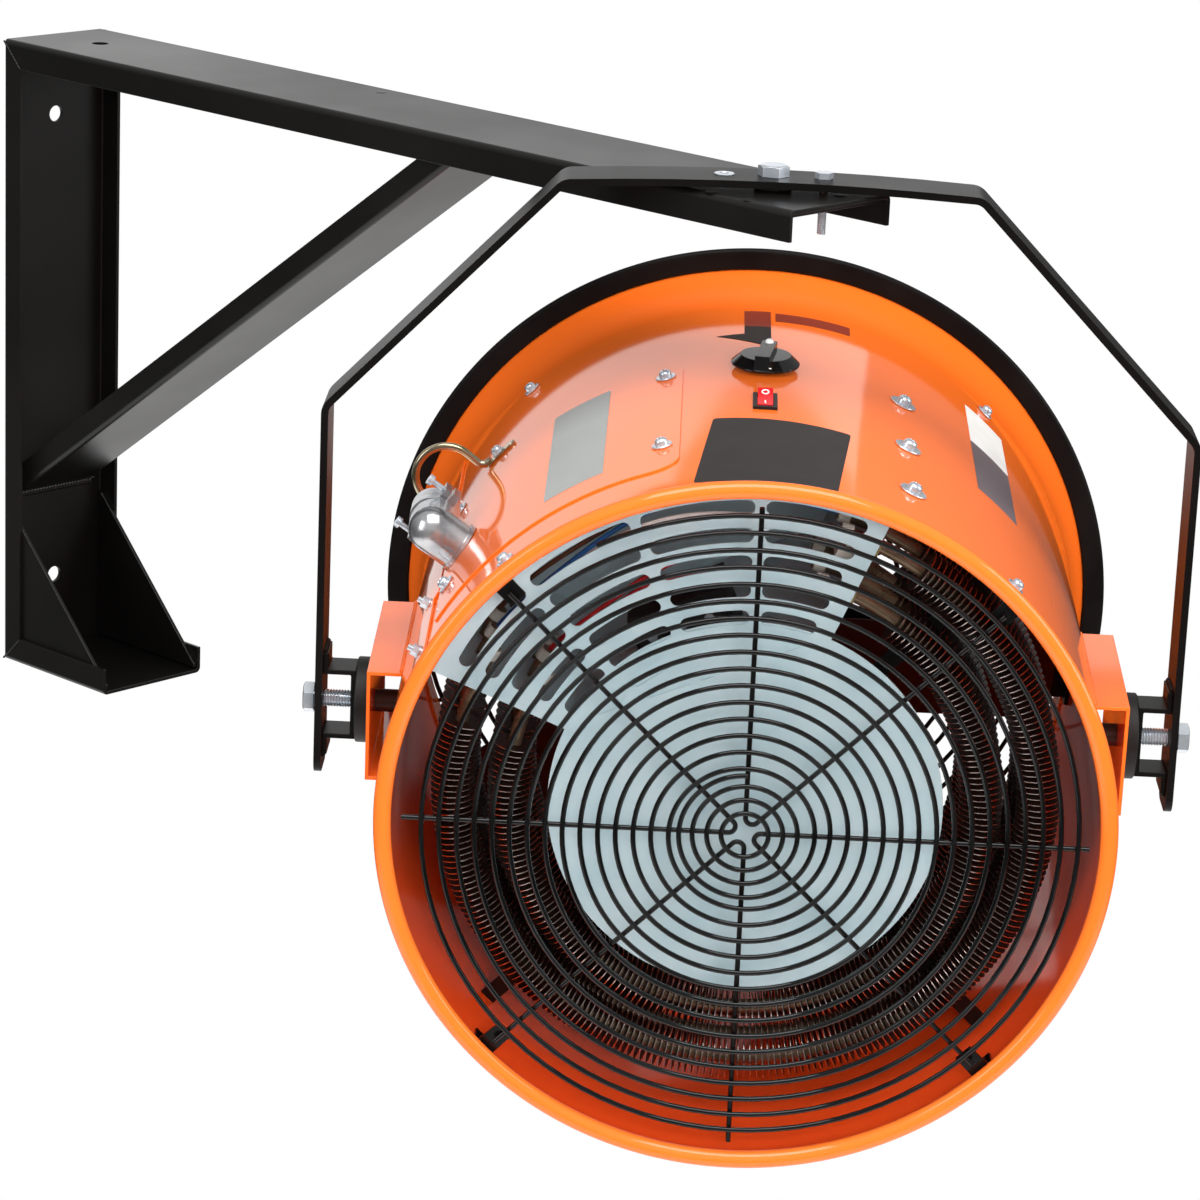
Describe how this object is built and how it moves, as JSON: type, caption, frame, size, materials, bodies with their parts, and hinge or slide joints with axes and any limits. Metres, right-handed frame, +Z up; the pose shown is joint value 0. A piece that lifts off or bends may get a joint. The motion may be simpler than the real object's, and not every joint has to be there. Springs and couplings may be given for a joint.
{
  "type": "wall mounted salamander heater",
  "caption": "Round electric salamander heater on a braced wall bracket; the yoke swivels, the drum tilts, and a fan blows through rings of finned elements behind a spiral guard.",
  "frame": {"origin": "midway between the two wall holes, on the face of the leg that lies on the wall", "axes": "+Z up, +Y into the wall, the arm points to -Y"},
  "size_m": [0.6885, 1.0769, 0.6512],
  "materials": {
    "satin_black": "satin",
    "zinc": "bright zinc plate",
    "black_washer": "matt",
    "disc_rubber": "matt",
    "orange_enamel": "gloss enamel",
    "ring_rubber": "satin",
    "dark_steel": "dark",
    "gloss_black_wire": "gloss",
    "galvanised": "galvanised",
    "element_sheath": "heat tinted",
    "fin_steel": "dark",
    "brass_nut": "plain",
    "motor_paint": "satin",
    "die_cast": "as cast",
    "yellow_zinc": "yellow zinc plate",
    "switch_plastic": "satin",
    "pale_plastic": "satin",
    "wire_cover": "satin",
    "fan_aluminium": "mill finish",
    "knob_plastic": "gloss",
    "rocker_plastic": "gloss"
  },
  "bodies": {
    "bracket": {"arm_channel": "satin_black", "wall_channel": "satin_black", "foot_channel": "satin_black", "brace_channel": "satin_black", "gusset_left": "satin_black", "gusset_right": "satin_black", "nut_plate": "satin_black", "swivel_bolt": "zinc", "swivel_washer": "black_washer", "swivel_nut": "zinc"},
    "yoke": {"yoke_bar": "satin_black", "lock_bolt": "zinc", "spacer_left": "satin_black", "spacer_right": "satin_black", "friction_disc_left": "disc_rubber", "friction_disc_right": "disc_rubber", "pivot_bolt_left": "zinc", "pivot_bolt_right": "zinc"},
    "drum": {"drum_shell": "orange_enamel", "rear_bell": "orange_enamel", "rear_trim_ring": "ring_rubber", "trunnion_left": "orange_enamel", "trunnion_right": "orange_enamel", "sleeve_left": "dark_steel", "sleeve_right": "dark_steel", "front_guard_spiral": "gloss_black_wire", "front_guard_spokes": "gloss_black_wire", "guard_clips": "gloss_black_wire", "rear_guard": "gloss_black_wire", "centre_baffle": "galvanised", "slotted_plate": "galvanised", "terminal_box": "galvanised", "inner_elements": "element_sheath", "outer_elements": "element_sheath", "inner_fins": "fin_steel", "outer_fins": "fin_steel", "element_nuts": "brass_nut", "element_straps": "satin_black", "motor": "motor_paint", "motor_bracket": "satin_black", "motor_screws": "zinc", "access_cover": "orange_enamel", "cover_screws": "zinc", "shell_screws": "zinc", "seam_strip": "orange_enamel", "seam_bolts": "zinc", "cable_connector": "die_cast", "connector_clamp": "die_cast", "connector_screws": "zinc", "cord_hook": "yellow_zinc", "hook_screw": "zinc", "thermostat_body": "pale_plastic", "contactor": "switch_plastic", "limit_switch": "pale_plastic", "wires": "wire_cover", "rocker_bezel": "switch_plastic"},
    "fan_rotor": {"fan": "fan_aluminium", "motor_shaft": "zinc"},
    "thermostat_knob": {"knob": "knob_plastic"},
    "power_rocker": {"rocker": "rocker_plastic"}
  },
  "joints": [
    {"name": "swivel", "type": "hinge", "parent": "bracket", "child": "yoke", "pos_m": [0, -0.763, 0.254], "axis": [0, 0, 1], "range_deg": [-5.33, 100.67]},
    {"name": "tilt", "type": "hinge", "parent": "yoke", "child": "drum", "pos_m": [0, -0.763, -0.1206], "axis": [0.6734, -0.7393, 0], "range_deg": [-34, 18]},
    {"name": "fan_spin", "type": "hinge", "parent": "drum", "child": "fan_rotor", "pos_m": [0.09242, -0.67881, -0.11677], "axis": [-0.7377, -0.6719, -0.0658], "continuous": true},
    {"name": "thermostat_turn", "type": "hinge", "parent": "drum", "child": "thermostat_knob", "pos_m": [0.03491, -0.73404, 0.11949], "axis": [-0.0427, -0.0507, 0.9978], "range_deg": [-135, 135]},
    {"name": "rocker_press", "type": "hinge", "parent": "drum", "child": "power_rocker", "pos_m": [-0.02551, -0.78852, 0.11463], "axis": [-0.6737, 0.739, 0.007], "range_deg": [0, 24]}
  ]
}
